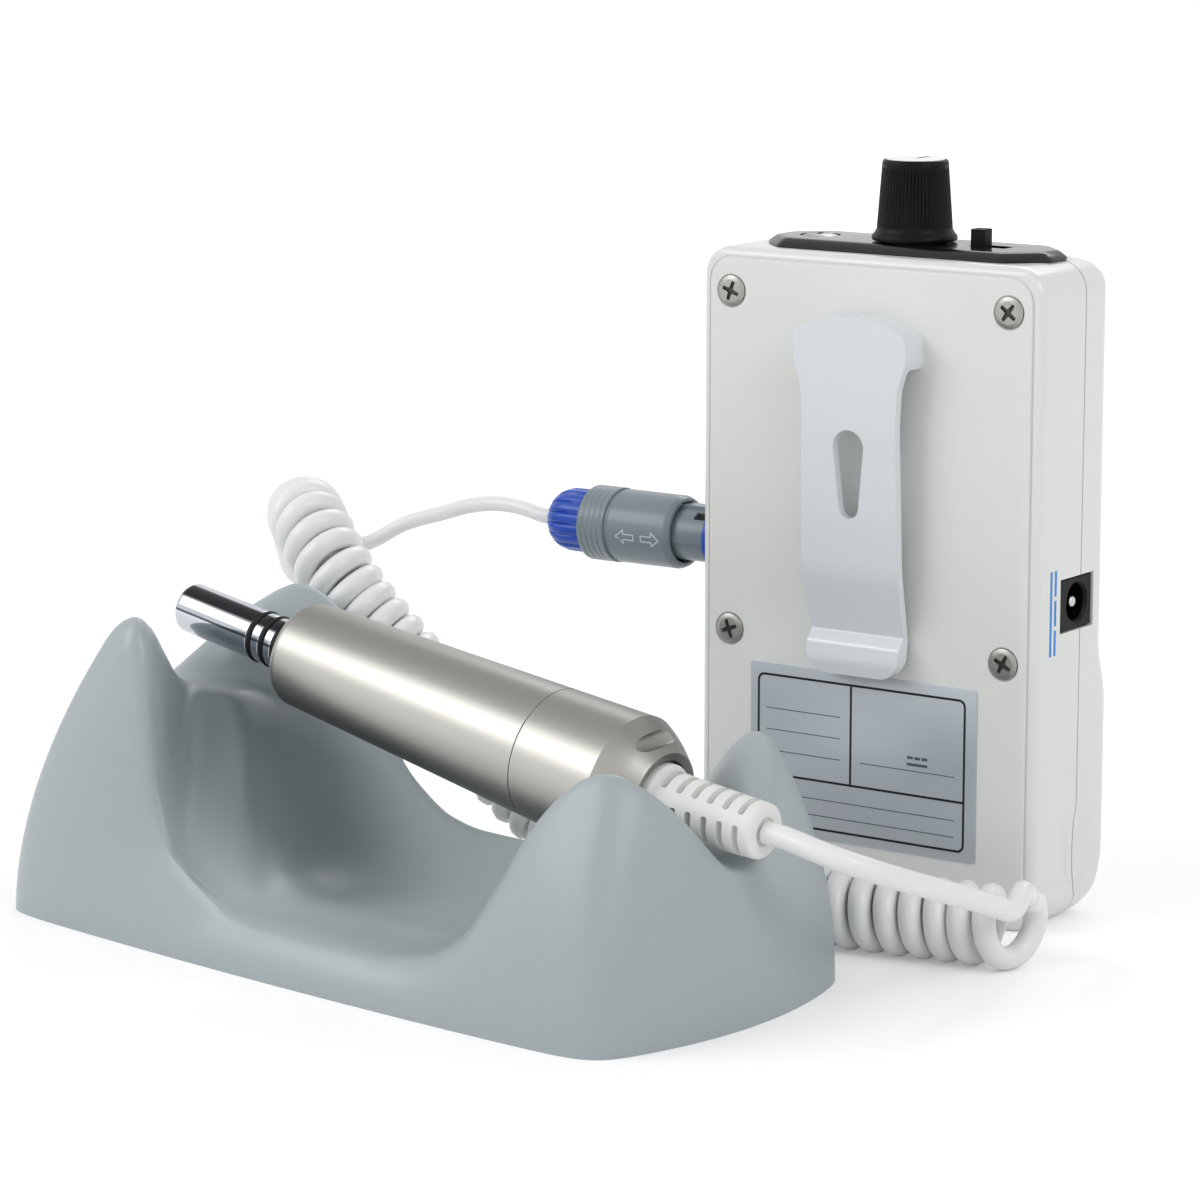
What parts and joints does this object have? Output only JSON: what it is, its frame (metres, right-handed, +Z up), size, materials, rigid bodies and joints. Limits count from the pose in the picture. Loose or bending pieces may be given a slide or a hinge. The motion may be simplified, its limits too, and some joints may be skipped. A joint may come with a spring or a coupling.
{
  "type": "dental lab micromotor set",
  "caption": "Pocket battery control box with speed knob and belt clip, joined by a curly cord to a slim motor handpiece resting on a moulded cradle.",
  "frame": {"origin": "on the surface that the set stands on, under the middle of the control box", "axes": "+X along the box's width to its charging socket, -Y out of its belt-clip face, +Z up"},
  "size_m": [0.1827, 0.1341, 0.1333],
  "materials": {
    "case_white": "fine satin moulded ABS",
    "clip_white": "glossy bluish white moulding",
    "gloss_black": "gloss black",
    "dark_plastic": "matt black moulding",
    "bright_steel": "polished plated steel",
    "brass": "plain",
    "aluminium": "plain",
    "label_foil": "silver foil sticker",
    "cell_pouch": "laminated pouch",
    "circuit_board": "green solder mask",
    "blue_plastic": "satin blue moulding",
    "plug_grey": "matt blue grey moulding",
    "handpiece_grey": "satin lacquered warm grey",
    "magnet_iron": "plain",
    "black_rubber": "matt",
    "cord_white": "soft white sheath",
    "cradle_grey": "satin blue grey moulding"
  },
  "bodies": {
    "base": {"rear_shell": "case_white", "front_shell": "case_white", "case_screw_1": "bright_steel", "case_screw_2": "bright_steel", "case_screw_3": "bright_steel", "case_screw_4": "bright_steel", "rating_label": "label_foil", "top_bezel": "gloss_black", "bezel_screw": "bright_steel", "potentiometer_body": "bright_steel", "potentiometer_nut": "brass", "slide_switch_body": "dark_plastic", "battery_cell_1": "cell_pouch", "battery_cell_2": "cell_pouch", "battery_cell_3": "cell_pouch", "battery_cell_4": "cell_pouch", "battery_protection_board": "circuit_board", "control_board": "circuit_board", "motor_driver_chip": "dark_plastic", "heat_sink": "aluminium", "smoothing_capacitor": "dark_plastic", "charging_jack": "dark_plastic", "charging_jack_pin": "bright_steel", "socket_ring": "blue_plastic", "socket_body": "dark_plastic", "socket_contacts": "brass", "clip_root": "clip_white", "cradle": "cradle_grey", "cord_coil": "cord_white", "motor_lead": "cord_white", "plug_lead": "cord_white"},
    "knob": {"speed_knob": "gloss_black", "knob_cap": "case_white", "potentiometer_shaft": "bright_steel"},
    "switch_lever": {"slide_switch_lever": "dark_plastic"},
    "clip_tongue": {"belt_clip": "clip_white"},
    "plug": {"plug_nose": "plug_grey", "plug_insert": "dark_plastic", "plug_collet_nut": "blue_plastic"},
    "plug_release": {"plug_sleeve": "plug_grey", "plug_band": "plug_grey"},
    "handpiece": {"nose_spigot": "bright_steel", "nose_ring_1": "black_rubber", "nose_ring_2": "black_rubber", "nose_ring_3": "black_rubber", "motor_housing": "handpiece_grey", "motor_rear_cap": "handpiece_grey", "stator_magnet": "magnet_iron", "front_bearing": "bright_steel", "rear_bearing": "bright_steel", "brush_holder": "dark_plastic", "carbon_brush_1": "black_rubber", "carbon_brush_2": "black_rubber", "strain_relief_boot": "cord_white"},
    "rotor": {"rotor_core": "magnet_iron", "rotor_shaft": "bright_steel", "commutator": "brass", "drive_dog": "bright_steel"}
  },
  "joints": [
    {"name": "knob_turn", "type": "hinge", "parent": "base", "child": "knob", "pos_m": [0.0018, 0, 0.125], "axis": [0, 0, 1], "range_deg": [-150, 150]},
    {"name": "switch_slide", "type": "slide", "parent": "base", "child": "switch_lever", "axis": [1, 0, 0], "range_m": [0, 0.004]},
    {"name": "clip_flex", "type": "hinge", "parent": "base", "child": "clip_tongue", "pos_m": [0, -0.01775, 0.09805], "axis": [-1, 0, 0], "range_deg": [0, 6], "stiffness_Nm_per_rad": 1.5, "springref_deg": -1.72},
    {"name": "plug_withdraw", "type": "slide", "parent": "base", "child": "plug", "axis": [-1, 0, 0], "range_m": [-0.006, 0.014], "deforming": ["plug_lead"]},
    {"name": "sleeve_release", "type": "slide", "parent": "plug", "child": "plug_release", "axis": [-1, 0, 0], "range_m": [0, 0.002], "stiffness_N_per_m": 800},
    {"name": "handpiece_lift", "type": "slide", "parent": "base", "child": "handpiece", "axis": [0, 0, 1], "range_m": [0, 0.08], "deforming": ["motor_lead"]},
    {"name": "rotor_spin", "type": "hinge", "parent": "handpiece", "child": "rotor", "pos_m": [-0.07345, -0.0796, 0.04915], "axis": [0.9823, -0.0687, -0.1745], "continuous": true}
  ]
}
